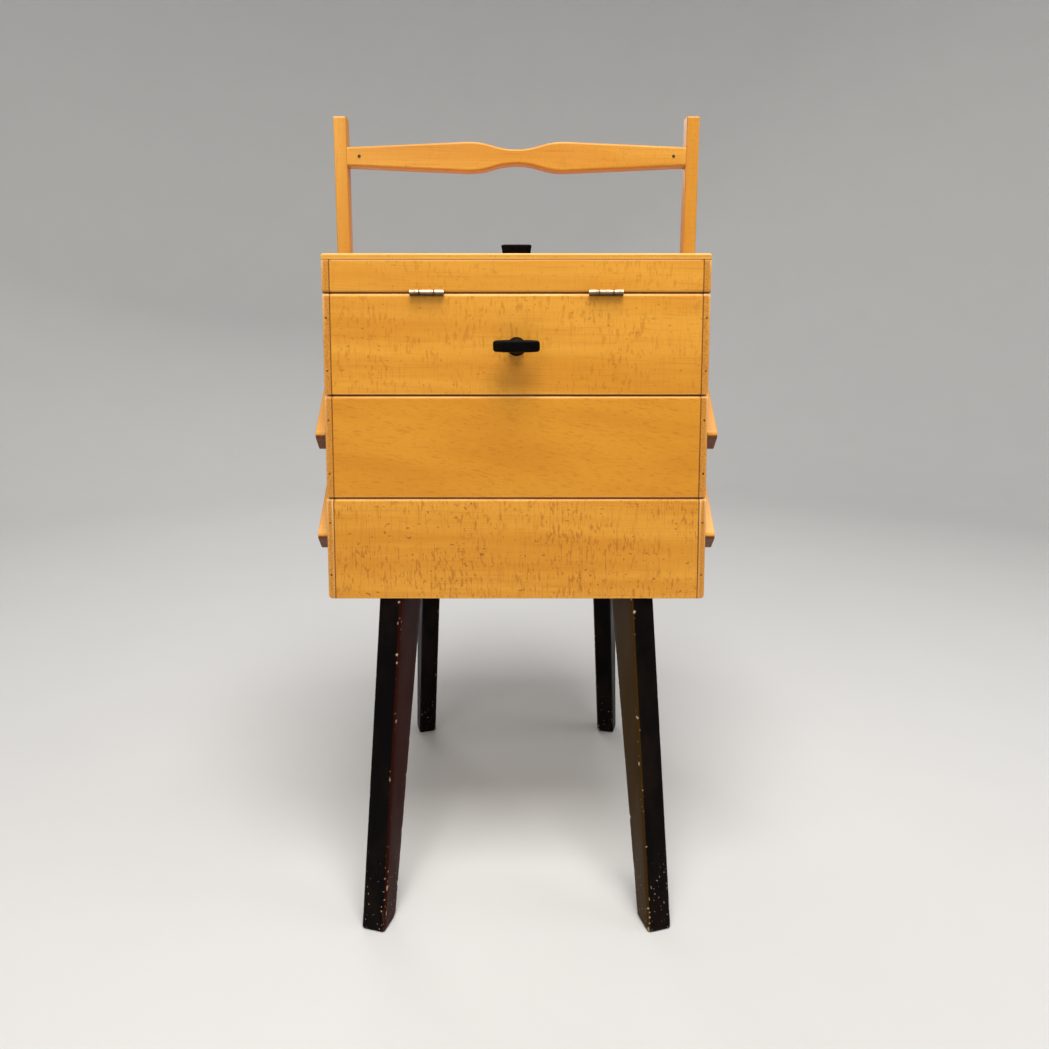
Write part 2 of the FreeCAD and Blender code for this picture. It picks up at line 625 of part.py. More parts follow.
def hinge_leaf(label, turn, leaf_bottom, outer_knuckles):
    """Two hinge leaves with their knuckles; the tray's leaves also hold the pins."""
    groups = []
    for sign in ("", "-"):
        centre = "%shinge_out" % sign
        plate = doc.addObject("Part::Box", label + "_plate")
        bind(plate, "Length", "hinge_length")
        bind(plate, "Width", "leaf_deep - leaf_back")
        bind(plate, "Height", "leaf_thick")
        move(plate, centre + " - hinge_length/2", "-box_depth/2 + leaf_back", leaf_bottom)
        solids = [plate]
        end = "(hinge_length - hinge_middle)/2"
        if outer_knuckles:
            spans = [(centre + " - hinge_length/2", end + " - knuckle_gap"),
                     (centre + " + hinge_middle/2 + knuckle_gap", end + " - knuckle_gap")]
        else:
            spans = [(centre + " - hinge_middle/2", "hinge_middle")]
        for start, length in spans:
            tab = doc.addObject("Part::Box", label + "_tab")
            bind(tab, "Length", length)
            bind(tab, "Width", "hinge_forward + tab_lap")
            bind(tab, "Height", "leaf_thick")
            move(tab, start, "-box_depth/2 - hinge_forward", leaf_bottom)
            knuckle = doc.addObject("Part::Cylinder", label + "_knuckle")
            bind(knuckle, "Radius", "hinge_radius")
            bind(knuckle, "Height", length)
            knuckle.Placement.Rotation = FreeCAD.Rotation(Z_AXIS, X_AXIS)
            move(knuckle, start, "-box_depth/2 - hinge_forward", HINGE_HEIGHT)
            solids += [tab, knuckle]
        joined = doc.addObject("Part::MultiFuse", label + "_joined")
        joined.Shapes = solids
        bore = doc.addObject("Part::Cylinder", label + "_bore")
        bind(bore, "Radius", "hinge_pin" if outer_knuckles else "hinge_pin + running")
        bind(bore, "Height", "hinge_length + %d" % (2 * OVER))
        bore.Placement.Rotation = FreeCAD.Rotation(Z_AXIS, X_AXIS)
        move(bore, "%s - hinge_length/2 - %d" % (centre, OVER), "-box_depth/2 - hinge_forward", HINGE_HEIGHT)
        leaf = doc.addObject("Part::Cut", label + "_leaf")
        leaf.Base = joined
        leaf.Tool = bore
        groups.append(leaf)
        if outer_knuckles:
            pin = doc.addObject("Part::Cylinder", label + "_pin")
            bind(pin, "Radius", "hinge_pin")
            bind(pin, "Height", "hinge_length + 2*pin_proud")
            pin.Placement.Rotation = FreeCAD.Rotation(Z_AXIS, X_AXIS)
            move(pin, centre + " - hinge_length/2 - pin_proud", "-box_depth/2 - hinge_forward", HINGE_HEIGHT)
            groups.append(pin)
    group = doc.addObject("Part::Compound", label + "_group")
    group.Links = groups
    keep(group, label, turn)


# ---------------------------------------------------------------- knobs

def pull_knob(label, turn):
    """A bar knob on a flared round stem, on the front of the top tray."""
    half = SIZES["knob_length"] / 2
    tall = SIZES["knob_tall"] / 2
    height = SIZES["knob_height"]
    end = tall - SIZES["knob_bulge"]
    right_high, right_low = (FreeCAD.Vector(half, height + up, 0) for up in (end, -end))
    left_high, left_low = (FreeCAD.Vector(-half, height + up, 0) for up in (end, -end))
    geometry = [
        Part.Arc(left_high, FreeCAD.Vector(0, height + tall, 0), right_high),
        Part.LineSegment(right_high, right_low),
        Part.Arc(right_low, FreeCAD.Vector(0, height - tall, 0), left_low),
        Part.LineSegment(left_low, left_high),
    ]
    bar = outline_body(label + "_bar", "XZ_Plane", geometry, "knob_thick", "edge_round*2", lambda spot: True)
    move(bar, "0", "-(box_depth/2 + knob_reach - knob_thick/2)", "0")
    stem = doc.addObject("Part::Cone", label + "_stem")
    bind(stem, "Radius1", "knob_stem")
    bind(stem, "Radius2", "knob_neck")
    bind(stem, "Height", "knob_reach - knob_thick/2")
    stem.Placement.Rotation = FreeCAD.Rotation(Z_AXIS, Y_AXIS * -1)
    move(stem, "0", "-box_depth/2", "knob_height")
    knob = doc.addObject("Part::Fuse", label + "_whole")
    knob.Base = bar
    knob.Tool = stem
    keep(knob, label, turn)


def lid_knob(label, turn):
    """A flat upright grip on the lid, with slightly hollow ends."""
    half = SIZES["lid_knob_width"] / 2
    waist = half - SIZES["lid_knob_waist"]
    low = SIZES["box_bottom"] + 2 * SIZES["tier_pitch"] + 2 * SIZES["tier_gap"] + SIZES["top_height"]
    low += SIZES["lid_wall_height"] + SIZES["lid_panel"]
    high = low + SIZES["lid_knob_tall"]
    middle = (low + high) / 2
    right_low, right_high = (FreeCAD.Vector(half, up, 0) for up in (low, high))
    left_low, left_high = (FreeCAD.Vector(-half, up, 0) for up in (low, high))
    geometry = [
        Part.LineSegment(left_low, right_low),
        Part.Arc(right_low, FreeCAD.Vector(waist, middle, 0), right_high),
        Part.LineSegment(right_high, left_high),
        Part.Arc(left_high, FreeCAD.Vector(-waist, middle, 0), left_low),
    ]
    body = outline_body(label, "XZ_Plane", geometry, "lid_knob_deep", "edge_round*1.5",
                        lambda spot: spot.z > low + NEAR)
    turned = doc.addObject("Part::Compound", label + "_placed")
    turned.Links = [body]
    move(body, "0", "-box_depth/2 + lid_knob_back", "0")
    keep(turned, label, turn)


# ---------------------------------------------------------------- assembly

base_box()
legs_and_rails()
frame_screws()
posts()
handle_bar()
base_pivots = lower_pivots("0")
base_pivots += [(y.replace("-(", "(", 1), z) for y, z in base_pivots]
base_sets = [piece for y, z in base_pivots for piece in pivot_set("box_width/2", y, z)]
both_ends("base_pivot_screws", base_sets, 0)
for half_name, half_turn in HALVES.items():
    half_arms(half_name, half_turn)
    half_trays(half_name, half_turn)
    half_lid(half_name, half_turn)
    hinge_leaf(half_name + "_tray_hinge_leaves", half_turn, HINGE_HEIGHT + " - 0.5*tier_gap - leaf_thick",
               True)
    hinge_leaf(half_name + "_lid_hinge_leaves", half_turn, HINGE_HEIGHT + " + 0.5*tier_gap", False)
    pull_knob(half_name + "_pull_knob", half_turn)
    lid_knob(half_name + "_lid_knob", half_turn)
doc.recompute()

for item in doc.Objects:
    if "Invalid" in item.State or "Error" in item.State:
        raise RuntimeError("%s failed: %s %s" % (item.Label, item.State, item.getStatusString()))
os.makedirs("parts", exist_ok=True)
for label, item in nodes.items():
    shape = item.Shape
    if shape.isNull() or not shape.isValid() or not shape.Solids:
        raise RuntimeError("%s has no valid solid" % label)
    shape.exportStep(os.path.join("parts", label + ".step"))
print("wrote %d nodes" % len(nodes))
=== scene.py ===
"""The looks of a wooden sewing box on splayed legs: lacquered beech, worn black paint and aged brass."""
import json
import math

import bmesh
import bpy
import numpy as np
from mathutils import Matrix, Vector, noise


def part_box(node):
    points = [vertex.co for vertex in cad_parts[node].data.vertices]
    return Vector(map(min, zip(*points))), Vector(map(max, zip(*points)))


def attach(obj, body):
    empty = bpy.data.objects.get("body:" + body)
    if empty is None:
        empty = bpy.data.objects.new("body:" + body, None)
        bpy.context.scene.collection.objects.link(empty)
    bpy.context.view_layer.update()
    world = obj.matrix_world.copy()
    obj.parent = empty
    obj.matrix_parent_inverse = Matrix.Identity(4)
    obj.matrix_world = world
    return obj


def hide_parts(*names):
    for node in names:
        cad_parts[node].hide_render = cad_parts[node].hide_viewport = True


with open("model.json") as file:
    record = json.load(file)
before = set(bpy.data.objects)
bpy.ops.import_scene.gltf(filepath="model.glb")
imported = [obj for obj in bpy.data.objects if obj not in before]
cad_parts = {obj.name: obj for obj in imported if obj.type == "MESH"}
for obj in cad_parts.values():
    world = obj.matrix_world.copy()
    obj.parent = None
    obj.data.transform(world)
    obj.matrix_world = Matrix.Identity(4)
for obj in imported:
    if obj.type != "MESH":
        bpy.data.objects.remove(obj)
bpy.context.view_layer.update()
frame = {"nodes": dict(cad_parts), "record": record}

MM = 0.001


# ---------------------------------------------------------------- shader helper

class Shader:
    """A node material under construction; values may be numbers, tuples or sockets."""

    def __init__(self, name):
        self.material = bpy.data.materials.new(name)
        self.material.use_nodes = True
        self.tree = self.material.node_tree
        self.surface = self.tree.nodes["Principled BSDF"]
        coordinates = self.tree.nodes.new("ShaderNodeTexCoord").outputs
        self.position = coordinates["Object"]
        self.facing = coordinates["Normal"]

    def fill(self, socket, value):
        if isinstance(value, bpy.types.NodeSocket):
            self.tree.links.new(value, socket)
        elif isinstance(value, tuple) and socket.type == "RGBA":
            socket.default_value = (*value[:3], 1)
        else:
            socket.default_value = value

    def sum(self, operation, first, second=0.0, third=0.0):
        """One step of arithmetic."""
        node = self.tree.nodes.new("ShaderNodeMath")
        node.operation = operation
        for socket, value in zip(node.inputs, (first, second, third)):
            self.fill(socket, value)
        return node.outputs[0]

    def step(self, value, low, high, to_low=0.0, to_high=1.0):
        """A smooth step of a value from one range to another."""
        node = self.tree.nodes.new("ShaderNodeMapRange")
        node.interpolation_type = "SMOOTHSTEP"
        for socket, number in zip(node.inputs, (value, low, high, to_low, to_high)):
            self.fill(socket, number)
        return node.outputs[0]

    def stretch(self, vector, scale, shift=(0, 0, 0)):
        """A vector times a scale per axis, and moved."""
        node = self.tree.nodes.new("ShaderNodeVectorMath")
        node.operation = "MULTIPLY_ADD"
        for socket, value in zip(node.inputs, (vector, scale, shift)):
            self.fill(socket, value)
        return node.outputs[0]

    def turn(self, vector, angle):
        """A vector turned about the x axis."""
        node = self.tree.nodes.new("ShaderNodeVectorRotate")
        node.rotation_type = "X_AXIS"
        self.fill(node.inputs["Vector"], vector)
        node.inputs["Angle"].default_value = angle
        return node.outputs[0]

    def split(self, vector):
        node = self.tree.nodes.new("ShaderNodeSeparateXYZ")
        self.fill(node.inputs[0], vector)
        return node.outputs

    def noise(self, vector, detail=2.0, roughness=0.5):
        """Noise of one cell per unit of the vector."""
        node = self.tree.nodes.new("ShaderNodeTexNoise")
        self.fill(node.inputs["Vector"], vector)
        node.inputs["Scale"].default_value = 1
        node.inputs["Detail"].default_value = detail
        node.inputs["Roughness"].default_value = roughness
        return node.outputs["Fac"]

    def attribute(self, name):
        node = self.tree.nodes.new("ShaderNodeAttribute")
        node.attribute_name = name
        return node.outputs["Fac"]

    def mix(self, amount, first, second):
        node = self.tree.nodes.new("ShaderNodeMix")
        node.data_type = "RGBA"
        self.fill(node.inputs[0], amount)
        self.fill(node.inputs[6], first)
        self.fill(node.inputs[7], second)
        return node.outputs[2]

    def bump(self, height, depth, strength):
        """Fine relief of the surface, up to a depth in metres."""
        node = self.tree.nodes.new("ShaderNodeBump")
        node.inputs["Strength"].default_value = strength
        node.inputs["Distance"].default_value = depth
        self.fill(node.inputs["Height"], height)
        self.tree.links.new(node.outputs[0], self.surface.inputs["Normal"])

    def finish(self, **inputs):
        """The finished material, with the surface's inputs named by their labels."""
        for name, value in inputs.items():
            self.fill(self.surface.inputs[name.replace("_", " ")], value)
        return self.material


# ---------------------------------------------------------------- wood

# colours, how strong the flecks and the grain lines are, the slant of the grain, and how pale the rims are
WOODS = {
    "box_wood": dict(light=(0.72, 0.325, 0.034), dark=(0.62, 0.245, 0.016), fleck=(0.40, 0.125, 0.008),
                     flecks=0.48, lines=0.26, slant=0.02, edge=0.65),
    "middle_wood": dict(light=(0.655, 0.275, 0.019), dark=(0.60, 0.232, 0.013), fleck=(0.42, 0.135, 0.008),
                        flecks=0.05, lines=0.50, slant=0.16, edge=0.60),
    "handle_wood": dict(light=(0.66, 0.31, 0.040), dark=(0.57, 0.24, 0.022), fleck=(0.40, 0.13, 0.010),
                        flecks=0.20, lines=0.35, slant=0.02, edge=0.30),
    "arm_wood": dict(light=(0.78, 0.39, 0.070), dark=(0.68, 0.30, 0.040), fleck=(0.46, 0.16, 0.02),
                     flecks=0.25, lines=0.30, slant=0.02, edge=0.0),
    "panel_wood": dict(light=(0.74, 0.48, 0.20), dark=(0.62, 0.37, 0.13), fleck=(0.48, 0.26, 0.09),
                       flecks=0.10, lines=0.45, slant=0.04, edge=0.0),
}
PALE_EDGE = (0.95, 0.60, 0.24)
# brown of the dirt in the joints, also used for the painted shade along board edges over the gaps
JOINT_AND_SHADE_BROWN = (0.13, 0.030, 0.003)
SPOT_BROWN = (0.20, 0.055, 0.006)
END_GRAIN = ((0.45, 0.170, 0.016), (0.61, 0.260, 0.036))
# the arms' end cuts: end grain darkened further by painted shade
ARM_END_GRAIN_AND_SHADE = ((0.10, 0.025, 0.005), (0.19, 0.058, 0.012))
GRIME = (0.26, 0.10, 0.018)

# each layer of marks: noise cells per metre along its axis and across it, the detail and roughness of its
# noise, and the values of the noise between which the mark goes from none to full
LAYERS = {
    "wander": dict(cells=(5, 9), detail=2, rough=0.5),
    "bands": dict(cells=(2.5, 38), detail=3, rough=0.55, ramp=(0.34, 0.68)),
    "lines": dict(cells=(13, 700), detail=3, rough=0.6, ramp=(0.50, 0.72)),
    "flecks": dict(cells=(130, 400), detail=1.5, rough=0.55, ramp=(0.54, 0.68)),
    "patches": dict(cells=(14, 24), detail=2, rough=0.5, ramp=(0.36, 0.58)),
    "fine": dict(cells=(40, 900), detail=2, rough=0.6, ramp=(0.50, 0.72)),
    "pores": dict(cells=(420, 900), detail=1, rough=0.5, ramp=(0.70, 0.80)),
    "spots": dict(cells=(260, 330), detail=1, rough=0.4, ramp=(0.70, 0.76)),
    "smudges": dict(cells=(22, 22), detail=3, rough=0.6, ramp=(0.60, 0.82)),
    "dots": dict(cells=(900, 900), detail=2, rough=0.5, ramp=(0.35, 0.65)),
}
WANDER_DEPTH = 12 * MM
FINE_STRENGTH = 0.5
PORE_STRENGTH = 0.55
SPOT_STRENGTH = 0.9
SMUDGE_STRENGTH = 0.20
END_FACING = (0.55, 0.85)
LACQUER_ROUGHNESS = (0.34, 0.50)
FIGURE_DEPTH = 0.12 * MM

# rims are pale up to so far from an edge; brown lines are ragged by a share of the smudges
RIM_RAGGED = 1.6 * MM
RIM_BAND = (1.0 * MM, 3.4 * MM)
RIM_JOINT_BAND = (1.2 * MM, 4 * MM)
# the lower rims get only this share of the paleness, so the upper edges carry a painted highlight
LOWER_RIM_SHARE = 0.25
SEAM_LINE = dict(ragged=0.5 * MM, near=0.8 * MM, clear=1.7 * MM, strength=0.9)
# the second line is painted shade along board edges that meet a gap
GAP_SHADE_LINE = dict(ragged=0.6 * MM, near=0.6 * MM, clear=1.5 * MM, strength=0.85)


class Wood(Shader):
    """A wood material under construction, with layers of marks along or across the grain."""

    def __init__(self, name, seed):
        super().__init__(name)
        self.shift = (seed * 3.17, seed * 1.73 + 5, seed * 2.41)

    def layer(self, name, vector, axis):
        """The noise of one layer, drawn out along an axis."""
        look = LAYERS[name]
        along, across = look["cells"]
        scale = tuple(along if each == axis else across for each in "xyz")
        return self.noise(self.stretch(vector, scale, self.shift), look["detail"], look["rough"])

    def mark(self, name, vector, axis, strength=1.0):
        """How strong the mark of one layer is, from none to the given strength."""
        return self.step(self.layer(name, vector, axis), *LAYERS[name]["ramp"], 0.0, strength)

    def brown_line(self, colour, gap, smudge, ragged, near, clear, strength):
        """A ragged brown line where a gap is small."""
        rough_gap = self.sum("MULTIPLY_ADD", smudge, ragged, gap)
        return self.mix(self.step(rough_gap, near, clear, strength, 0), colour, JOINT_AND_SHADE_BROWN)


def slanted_figure(shader, place, grain, slant):
    """The board's coordinates, moved across the grain so that it slants and wanders a little."""
    wander = shader.layer("wander", place, grain)
    values = dict(zip("xyz", shader.split(place)))
    lift = shader.sum("MULTIPLY_ADD", values[grain], slant, shader.sum("MULTIPLY", wander, WANDER_DEPTH))
    joined = shader.tree.nodes.new("ShaderNodeCombineXYZ")
    for socket, axis in zip(joined.inputs, "xyz"):
        shader.fill(socket, values[axis] if axis == grain else shader.sum("ADD", values[axis], lift))
    return joined.outputs[0]


def gaps_to_faces(shader, values, low, high):
    """How far each spot is from the nearer side of the board's box, per axis."""
    gaps = {}
    for index, axis in enumerate("xyz"):
        middle = (low[index] + high[index]) / 2
        half = (high[index] - low[index]) / 2
        off = shader.sum("ABSOLUTE", shader.sum("SUBTRACT", values[axis], middle))
        gaps[axis] = shader.sum("SUBTRACT", half, off)
    return gaps


def rim_amount(shader, edge, height, gaps, smudge, low, high, joint):
    """How pale a spot is: rubbed by hands along the rims, not where another board butts, and with a painted
    highlight that makes the upper edges paler than the lower ones.
    """
    smaller = shader.sum("MINIMUM", gaps["x"], gaps["y"])
    larger = shader.sum("MAXIMUM", gaps["x"], gaps["y"])
    edge_gap = shader.sum("MAXIMUM", smaller, shader.sum("MINIMUM", larger, gaps["z"]))
    rough_gap = shader.sum("MULTIPLY_ADD", smudge, RIM_RAGGED, edge_gap)
    far = shader.step(gaps[joint], *RIM_JOINT_BAND) if joint else 1.0
    # painted highlight: full paleness on the upper edges, less towards the lower ones, as if lit from above
    upper = shader.step(height, (low[2] + high[2]) / 2, high[2], LOWER_RIM_SHARE, 1)
    worn = shader.sum("MULTIPLY", shader.step(rough_gap, *RIM_BAND, edge, 0), far)
    return shader.sum("MULTIPLY", worn, upper)


def wood_material(name, wood, low, high, grain, seed, fleck_way, gain, turn=0.0, joint=None, shaded_edges=()):
    """Lacquered beech whose figure is set in the board's own coordinates.

    grain is the axis of the grain, fleck_way the axis along which the ray flecks are long, gain how strong
    they are, and joint the axis at whose ends another board butts against this one. shaded_edges lists the
    heights of the edges along which a brown line is painted as shade, where the edge meets a gap.
    """
    look = WOODS[wood]
    flecks = look["flecks"] * gain
    shader = Wood(name, seed)
    place = shader.turn(shader.position, turn) if turn else shader.position
    facing = shader.turn(shader.facing, turn) if turn else shader.facing
    figure = slanted_figure(shader, place, grain, look["slant"])

    colour = shader.mix(shader.mark("bands", figure, grain), look["dark"], look["light"])
    lines = shader.layer("lines", figure, grain)
    line_amount = shader.step(lines, *LAYERS["lines"]["ramp"], 0.0, look["lines"])
    colour = shader.mix(line_amount, colour, look["fleck"])

    # ray flecks: short marks across the grain, gathered in patches, over fine lines that run the same way
    in_patches = shader.mark("patches", place, grain)
    fleck_mask = shader.sum("MULTIPLY", shader.mark("flecks", place, fleck_way), in_patches)
    colour = shader.mix(shader.sum("MULTIPLY", fleck_mask, flecks), colour, look["fleck"])
    colour = shader.mix(shader.mark("fine", place, fleck_way, FINE_STRENGTH * flecks), colour, look["fleck"])
    colour = shader.mix(shader.mark("pores", place, grain, PORE_STRENGTH), colour, GRIME)
    colour = shader.mix(shader.mark("spots", place, grain, SPOT_STRENGTH * flecks), colour, SPOT_BROWN)
    smudge = shader.layer("smudges", place, grain)
    smudge_amount = shader.step(smudge, *LAYERS["smudges"]["ramp"], 0.0, SMUDGE_STRENGTH)
    colour = shader.mix(smudge_amount, colour, look["dark"])

    end_facing = shader.sum("ABSOLUTE", dict(zip("xyz", shader.split(facing)))[grain])
    # on the arms the end cuts carry painted shade as well as the darker end grain
    end_colours_and_shade = ARM_END_GRAIN_AND_SHADE if wood == "arm_wood" else END_GRAIN
    end_grain_and_shade = shader.mix(shader.mark("dots", place, grain), *end_colours_and_shade)
    colour = shader.mix(shader.step(end_facing, *END_FACING), colour, end_grain_and_shade)

    # old lacquer: rims paler where hands rub them, and paler still on the upper edges as a painted
    # highlight;
    # brown where dirt sits in the joints at the board ends, and brown painted shade along the edges over the
    # gaps
    values = dict(zip("xyz", shader.split(shader.position)))
    gaps = gaps_to_faces(shader, values, low, high)
    if look["edge"]:
        pale = rim_amount(shader, look["edge"], values["z"], gaps, smudge, low, high, joint)
        colour = shader.mix(pale, colour, PALE_EDGE)
    if joint:
        colour = shader.brown_line(colour, gaps[joint], smudge, **SEAM_LINE)
    # painted shade: a brown line along each edge in shaded_edges, for the shade in the gap there
    for edge_height in shaded_edges:
        away = shader.sum("ABSOLUTE", shader.sum("SUBTRACT", values["z"], edge_height))
        colour = shader.brown_line(colour, away, smudge, **GAP_SHADE_LINE)

    height = shader.sum("MULTIPLY_ADD", lines, -0.6, shader.sum("MULTIPLY", fleck_mask, -0.4))
    shader.bump(height, FIGURE_DEPTH, 0.5)
    roughness = shader.step(smudge, 0.3, 0.8, *LACQUER_ROUGHNESS)
    return shader.finish(Base_Color=colour, Roughness=roughness, Coat_Weight=0.10, Coat_Roughness=0.25,
                         Specular_IOR_Level=0.25)


SLOTS = {part["node"]: part["material_slot"] for part in frame["record"]["subparts"]}


def dress(node, material):
    """Give a CAD node one material."""
    slots = frame["nodes"][node].data.materials
    slots.clear()
    slots.append(material)


# how far an arm's upper pivot is above its lower one, and how far behind it
ARM_RISE = 70 * MM
ARM_REACH = 66 * MM
FLECK_GAIN = {"base": 1.35, "lid": 0.6}
OTHER_FLECK_GAIN = 0.85


def board_options(node):
    """The axes of a wooden node's grain and flecks, and of the joints at its ends."""
    if node.endswith("_arms"):
        lean = math.atan2(ARM_RISE, ARM_REACH)
        return dict(grain="y", fleck_way="z", turn=-lean if node.startswith("front") else lean - math.pi)
    if "_post" in node:
        return dict(grain="z", fleck_way="x")
    if "side" in node:
        return dict(grain="y", fleck_way="z")
    if "panel" in node:
        return dict(grain="x", fleck_way="y")
    if "board" in node:
        return dict(grain="x", fleck_way="z", joint="x")
    return dict(grain="x", fleck_way="z")


def dress_wooden_nodes():
    """Every wooden CAD node gets its own figure, from its place in the box and a seed."""
    for seed, node in enumerate(sorted(frame["nodes"]), start=1):
        if SLOTS[node] not in WOODS:
            continue
        low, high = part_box(node)
        # painted shade: brown lines along the lower edges of the tray boards and sides, along both edges of
        # the lid boards, none on the base
        shaded_edges = ()
        if "board" in node or "sides" in node:
            if "_lid_" in node:
                shaded_edges = (high[2], low[2])
            elif "base" not in node:
                shaded_edges = (low[2],)
        gains = [gain for word, gain in FLECK_GAIN.items() if word in node]
        gain = gains[0] if gains else OTHER_FLECK_GAIN
        dress(node, wood_material(node + "_wood", SLOTS[node], low, high, seed=seed, gain=gain, shaded_edges=shaded_edges,
                                  **board_options(node)))


# ---------------------------------------------------------------- paint and metal

BLACK_PAINT = (0.0018, 0.0014, 0.0014)
DULL_PAINT = (0.008, 0.0045, 0.003)
BARE_WOOD = (0.40, 0.29, 0.18)
# painted reflections on the inner faces of the legs: red-brown on the left pair, olive-brown on the right
# pair
RED_BROWN_REFLECTION = (0.026, 0.0025, 0.0008)
OLIVE_BROWN_REFLECTION = (0.044, 0.021, 0.002)
UNDERCOAT = (0.036, 0.017, 0.008)
REFLECTION_SHARE = 0.9
SPECK_HEIGHT = 120 * MM
PAINT_DEPTH = 0.15 * MM

# noise cells per metre along x, y and z
DULL_CELLS = (30, 30, 12)
RUB_CELLS = (130, 130, 60)
FINE_CELLS = (620, 620, 340)
SPECK_CELLS = (600, 600, 430)
STROKE_CELLS = (700, 700, 14)

# how rubbed the paint is where the undercoat and then the bare wood come through
UNDERCOAT_BAND = (0.62, 0.80)
BARE_BAND = (0.80, 0.92)


def paint_material(name, seed, wear=1.0, reflected_brown=RED_BROWN_REFLECTION):
    """Old black paint, dull in patches, rubbed through to an undercoat and to bare wood where it is worn.

    reflected_brown is a painted reflection: the warm brown of the box's wooden underside and the floor,
    shown in the glossy paint on the inner faces of the legs.
    """
    shader = Shader(name)
    shift = (seed * 2.3, seed * 1.1, seed * 3.9)

    def texture(cells, detail, roughness):
        return shader.noise(shader.stretch(shader.position, cells, shift), detail, roughness)

    patches = texture(DULL_CELLS, 4, 0.6)
    coarse = texture(RUB_CELLS, 4, 0.65)
    fine = texture(FINE_CELLS, 3, 0.6)
    specks = texture(SPECK_CELLS, 1, 0.4)
    strokes = texture(STROKE_CELLS, 2, 0.5)

    colour = shader.mix(shader.step(patches, 0.42, 0.70), BLACK_PAINT, DULL_PAINT)
    # painted reflection on the legs' inner faces
    colour = shader.mix(shader.sum("MULTIPLY", shader.attribute("inside"), REFLECTION_SHARE), colour, reflected_brown)
    rub = shader.sum("MULTIPLY_ADD", shader.attribute("wear"), wear,
                     shader.sum("MULTIPLY_ADD", coarse, 0.75, -0.55))
    rub = shader.sum("MULTIPLY_ADD", fine, 0.35, rub)
    low_down = shader.step(shader.split(shader.position)[2], 0.1 * SPECK_HEIGHT, SPECK_HEIGHT, 0.55, 0)
    rub = shader.sum("MAXIMUM", rub, shader.sum("ADD", shader.step(specks, 0.68, 0.76, 0, 0.5), low_down))
    undercoat = shader.step(rub, *UNDERCOAT_BAND)
    colour = shader.mix(undercoat, colour, UNDERCOAT)
    colour = shader.mix(shader.step(rub, *BARE_BAND), colour, BARE_WOOD)

    height = shader.sum("MULTIPLY_ADD", undercoat, -0.6, shader.sum("MULTIPLY_ADD", strokes, 0.25, fine))
    shader.bump(height, PAINT_DEPTH, 0.6)
    gloss = shader.step(patches, 0.3, 0.75, 0.34, 0.52)
    roughness = shader.sum("MAXIMUM", gloss, shader.sum("MULTIPLY", undercoat, 0.65))
    return shader.finish(Base_Color=colour, Roughness=roughness, Specular_IOR_Level=0.2, IOR=1.2)


# how far a hinge is from the middle of the box, and its knuckle seams from the hinge's own middle
HINGE_OUT = 78 * MM
HINGE_SEAM = 6.5 * MM
# the brown-black of the painted shade on a hinge
HINGE_SHADE = (0.035, 0.016, 0.008)
SEAM_BAND = (0.3 * MM, 0.8 * MM)
TARNISH_CELLS = (260, 260, 260)
SCRATCH_CELLS = (150, 2400, 2400)
SCRATCH_DEPTH = 0.05 * MM


def metal_material(name, bright, dull, roughness, seed, knuckles=False):
    """Aged metal with tarnish in patches and fine scratches; on a hinge, painted shade in the seams between
    the knuckles and on the downward-facing side.
    """
    shader = Shader(name)
    shift = (seed, seed * 2.0, seed * 0.7)
    patches = shader.noise(shader.stretch(shader.position, TARNISH_CELLS, shift), 4, 0.6)
    scratches = shader.noise(shader.stretch(shader.position, SCRATCH_CELLS, shift), 2)
    colour = shader.mix(shader.step(patches, 0.45, 0.70), bright, dull)
    if knuckles:
        # painted shade: dark rings in the seams between the knuckles
        out = shader.sum("ABSOLUTE", shader.split(shader.position)[0])
        from_centre = shader.sum("ABSOLUTE", shader.sum("SUBTRACT", out, HINGE_OUT))
        seam = shader.sum("ABSOLUTE", shader.sum("SUBTRACT", from_centre, HINGE_SEAM))
        colour = shader.mix(shader.step(seam, *SEAM_BAND, 0.95, 0), colour, HINGE_SHADE)
        # painted shade: the downward-facing side of the hinge is darkened
        underside_shade = shader.step(shader.split(shader.facing)[2], -0.55, 0.25, 0.9, 0)
        colour = shader.mix(underside_shade, colour, HINGE_SHADE)
    shader.bump(shader.sum("ADD", scratches, patches), SCRATCH_DEPTH, 0.5)
    return shader.finish(Base_Color=colour, Metallic=1.0,
                         Roughness=shader.step(patches, 0.3, 0.7, roughness, roughness + 0.2))


BRASS = metal_material("aged_brass", (0.68, 0.52, 0.33), (0.36, 0.24, 0.13), 0.30, 1.3, knuckles=True)
STEEL = metal_material("aged_steel", (0.60, 0.55, 0.47), (0.20, 0.14, 0.09), 0.32, 4.1)
NAIL = metal_material("rusty_nail", (0.20, 0.10, 0.05), (0.07, 0.03, 0.015), 0.55, 7.7)
PIN = metal_material("dark_pin", (0.10, 0.06, 0.04), (0.04, 0.02, 0.012), 0.5, 9.2)
RAIL_PAINT = paint_material("rail_paint", 3.3, 0.0)


def dress_metal_and_painted_nodes():
    """Hardware gets its metal. Painted nodes get plain paint: all but the rails are replaced further on."""
    for node in frame["nodes"]:
        if "hinge" in node:
            dress(node, BRASS)
        elif "screws" in node:
            dress(node, STEEL)
        elif node == "handle_pins":
            dress(node, PIN)
        elif SLOTS[node] in ("leg_paint", "knob_paint"):
            dress(node, RAIL_PAINT)


# ---------------------------------------------------------------- mesh helpers

FLAT_WEAR = 0.55


